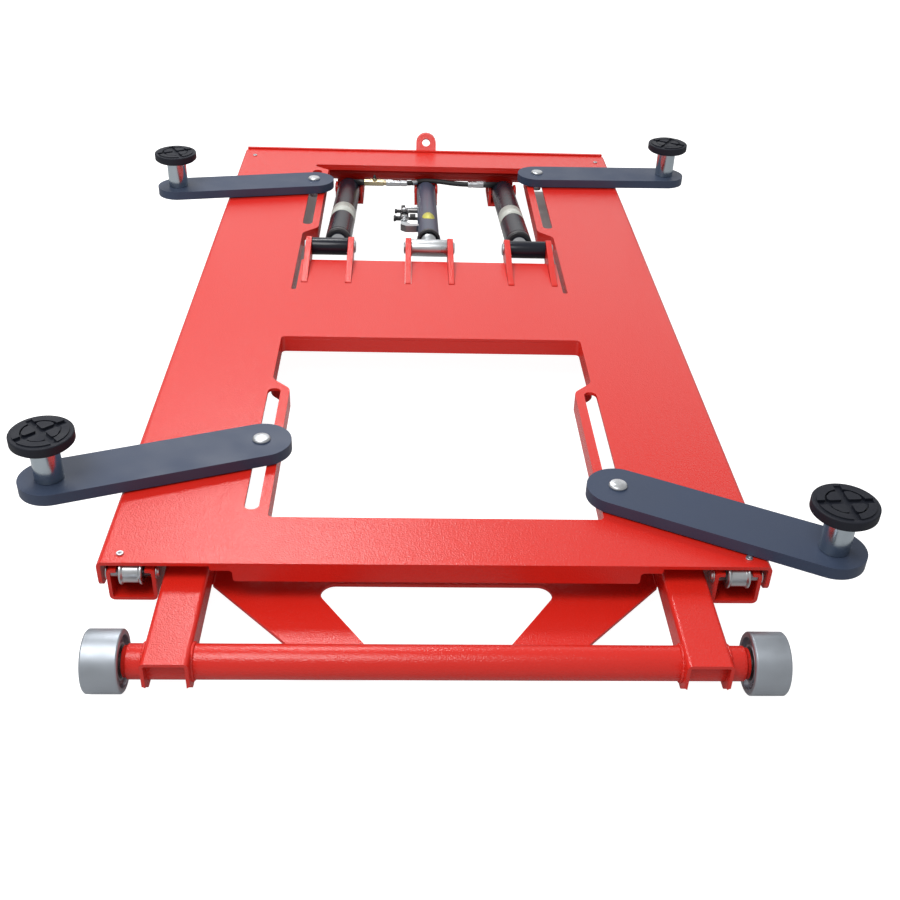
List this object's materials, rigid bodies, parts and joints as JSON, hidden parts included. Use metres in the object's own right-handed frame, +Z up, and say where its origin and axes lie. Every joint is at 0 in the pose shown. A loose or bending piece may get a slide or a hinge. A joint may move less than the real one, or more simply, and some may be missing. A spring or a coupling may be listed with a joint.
{
  "type": "mobile scissor car lift",
  "caption": "Low wheeled scissor lift for cars, stored lowered: a slotted red platform on crossed arms, with twin cylinders, a safety lock and swing arms that carry rubber pads.",
  "frame": {"origin": "on the floor, on the centre plane, under the pivot line of the base, on the underside of the middle floor bar", "axes": "+X to the right, +Y from the wheeled near end towards the tow eye, +Z up"},
  "size_m": [1.352, 2.0411, 0.2176],
  "materials": {
    "red_paint": "satin powder coat",
    "arm_paint": "satin dark blue-grey powder coat",
    "cylinder_paint": "gloss black paint",
    "lock_paint": "gloss dark blue-grey paint",
    "zinc": "zinc plate",
    "chrome_rod": "ground hard chrome",
    "rubber": "moulded black rubber"
  },
  "bodies": {
    "base": {"end_plate": "red_paint", "side_floor_bar_left": "red_paint", "side_floor_bar_right": "red_paint", "cylinder_bar_left": "red_paint", "lock_bar": "red_paint", "cylinder_bar_right": "red_paint", "base_cross_tube": "red_paint", "base_pivot_pin_left": "zinc", "base_pivot_pin_right": "zinc"},
    "outer_arms": {"outer_arm_left": "red_paint", "outer_arm_right": "red_paint", "roller_axle_left": "zinc", "roller_axle_right": "zinc", "centre_pivot_pin_left": "zinc", "centre_pivot_pin_right": "zinc"},
    "inner_arms": {"inner_arm_left": "red_paint", "inner_arm_right": "red_paint", "wheel_axle_tube": "red_paint", "wheel_axle": "zinc", "brace_plate": "red_paint", "ear_crossmember": "red_paint", "rod_eye_pin_left": "zinc", "rod_eye_pin_centre": "zinc", "rod_eye_pin_right": "zinc"},
    "platform": {"deck_plate": "red_paint", "near_opening_walls": "red_paint", "far_opening_walls": "red_paint", "platform_pivot_left": "red_paint", "platform_pivot_right": "red_paint"},
    "wheel_left": {"wheel_left": "zinc"},
    "wheel_right": {"wheel_right": "zinc"},
    "roller_left": {"roller_left": "zinc"},
    "roller_right": {"roller_right": "zinc"},
    "cylinder_rods": {"piston_rod_left": "chrome_rod", "piston_rod_right": "chrome_rod"},
    "cylinder_barrels": {"cylinder_barrel_left": "cylinder_paint", "cylinder_barrel_right": "cylinder_paint", "hydraulic_hose": "rubber", "hose_fittings_left": "zinc", "hose_fittings_right": "zinc"},
    "lock_rod": {"lock_rod": "zinc"},
    "lock_tube": {"lock_tube": "lock_paint", "latch_actuator": "zinc"},
    "latch_pawl": {"latch_pawl": "zinc"},
    "slide_near_left": {"slide_bolt_near_left": "zinc"},
    "arm_near_left": {"swing_arm_near_left": "arm_paint"},
    "pad_near_left": {"pad_post_near_left": "zinc", "rubber_pad_near_left": "rubber"},
    "slide_near_right": {"slide_bolt_near_right": "zinc"},
    "arm_near_right": {"swing_arm_near_right": "arm_paint"},
    "pad_near_right": {"pad_post_near_right": "zinc", "rubber_pad_near_right": "rubber"},
    "slide_far_left": {"slide_bolt_far_left": "zinc"},
    "arm_far_left": {"swing_arm_far_left": "arm_paint"},
    "pad_far_left": {"pad_post_far_left": "zinc", "rubber_pad_far_left": "rubber"},
    "slide_far_right": {"slide_bolt_far_right": "zinc"},
    "arm_far_right": {"swing_arm_far_right": "arm_paint"},
    "pad_far_right": {"pad_post_far_right": "zinc", "rubber_pad_far_right": "rubber"}
  },
  "joints": [
    {"name": "lift", "type": "hinge", "parent": "base", "child": "outer_arms", "pos_m": [0, 0, 0.045], "axis": [-1, 0, 0], "range_deg": [0, 28.5]},
    {"name": "scissor_centre", "type": "hinge", "parent": "outer_arms", "child": "inner_arms", "pos_m": [0, -0.9513, 0.06508], "axis": [-1, 0, 0], "range_deg": [-57, 0]},
    {"name": "platform_pivot", "type": "hinge", "parent": "inner_arms", "child": "platform", "pos_m": [0, -0.15, 0.082], "axis": [-1, 0, 0], "range_deg": [0, 28.5]},
    {"name": "wheel_spin_left", "type": "hinge", "parent": "inner_arms", "child": "wheel_left", "pos_m": [-0.4625, -1.9026, 0.045], "axis": [1, 0, 0], "continuous": true},
    {"name": "roller_spin_left", "type": "hinge", "parent": "outer_arms", "child": "roller_left", "pos_m": [-0.4515, -1.7526, 0.082], "axis": [1, 0, 0], "continuous": true},
    {"name": "wheel_spin_right", "type": "hinge", "parent": "inner_arms", "child": "wheel_right", "pos_m": [0.4625, -1.9026, 0.045], "axis": [1, 0, 0], "continuous": true},
    {"name": "roller_spin_right", "type": "hinge", "parent": "outer_arms", "child": "roller_right", "pos_m": [0.4515, -1.7526, 0.082], "axis": [1, 0, 0], "continuous": true},
    {"name": "cylinder_swing", "type": "hinge", "parent": "inner_arms", "child": "cylinder_rods", "pos_m": [0, -0.642, 0.12], "axis": [-1, 0, 0], "range_deg": [0, 72.88]},
    {"name": "cylinder_stroke", "type": "slide", "parent": "cylinder_rods", "child": "cylinder_barrels", "axis": [0, 0.9907, -0.1359], "range_m": [0, 0.26277]},
    {"name": "lock_swing", "type": "hinge", "parent": "inner_arms", "child": "lock_rod", "pos_m": [0, -0.642, 0.12], "axis": [-1, 0, 0], "range_deg": [0, 72.88]},
    {"name": "lock_stroke", "type": "slide", "parent": "lock_rod", "child": "lock_tube", "axis": [0, 0.9907, -0.1359], "range_m": [0, 0.26277]},
    {"name": "latch_release", "type": "hinge", "parent": "lock_tube", "child": "latch_pawl", "pos_m": [-0.058, -0.42999, 0.09091], "axis": [0, -0.1359, -0.9907], "range_deg": [0, 8]},
    {"name": "slide_near_left", "type": "slide", "parent": "platform", "child": "slide_near_left", "axis": [0, 1, 0], "range_m": [-0.151, 0.195]},
    {"name": "swing_near_left", "type": "hinge", "parent": "slide_near_left", "child": "arm_near_left", "pos_m": [-0.29, -1.468, 0.121], "axis": [0, 0, -1], "range_deg": [-70.1, 109.9]},
    {"name": "pad_turn_near_left", "type": "hinge", "parent": "arm_near_left", "child": "pad_near_left", "pos_m": [-0.60876, -1.58339, 0.121], "axis": [0, 0, 1], "continuous": true},
    {"name": "slide_near_right", "type": "slide", "parent": "platform", "child": "slide_near_right", "axis": [0, 1, 0], "range_m": [-0.027, 0.319]},
    {"name": "swing_near_right", "type": "hinge", "parent": "slide_near_right", "child": "arm_near_right", "pos_m": [0.29, -1.592, 0.121], "axis": [0, 0, 1], "range_deg": [-62.8, 117.2]},
    {"name": "pad_turn_near_right", "type": "hinge", "parent": "arm_near_right", "child": "pad_near_right", "pos_m": [0.59151, -1.74696, 0.121], "axis": [0, 0, 1], "continuous": true},
    {"name": "slide_far_left", "type": "slide", "parent": "platform", "child": "slide_far_left", "axis": [0, 1, 0], "range_m": [-0.141, 0.119]},
    {"name": "swing_far_left", "type": "hinge", "parent": "slide_far_left", "child": "arm_far_left", "pos_m": [-0.29, -0.244, 0.121], "axis": [0, 0, -1], "range_deg": [-49.3, 28.7]},
    {"name": "pad_turn_far_left", "type": "hinge", "parent": "arm_far_left", "child": "pad_far_left", "pos_m": [-0.62311, -0.30694, 0.121], "axis": [0, 0, 1], "continuous": true},
    {"name": "slide_far_right", "type": "slide", "parent": "platform", "child": "slide_far_right", "axis": [0, 1, 0], "range_m": [-0.219, 0.041]},
    {"name": "swing_far_right", "type": "hinge", "parent": "slide_far_right", "child": "arm_far_right", "pos_m": [0.29, -0.166, 0.121], "axis": [0, 0, 1], "range_deg": [-61.5, 16.5]},
    {"name": "pad_turn_far_right", "type": "hinge", "parent": "arm_far_right", "child": "pad_far_right", "pos_m": [0.62888, -0.15713, 0.121], "axis": [0, 0, 1], "continuous": true}
  ],
  "couplings": [
    {"joint": "scissor_centre", "follows": "lift", "ratio": -2},
    {"joint": "platform_pivot", "follows": "lift", "ratio": 1},
    {"joint": "cylinder_swing", "follows": "lift", "ratio": 2.557},
    {"joint": "lock_swing", "follows": "lift", "ratio": 2.557},
    {"joint": "cylinder_stroke", "follows": "lift", "m_per_rad": 0.52807},
    {"joint": "lock_stroke", "follows": "lift", "m_per_rad": 0.52807}
  ]
}
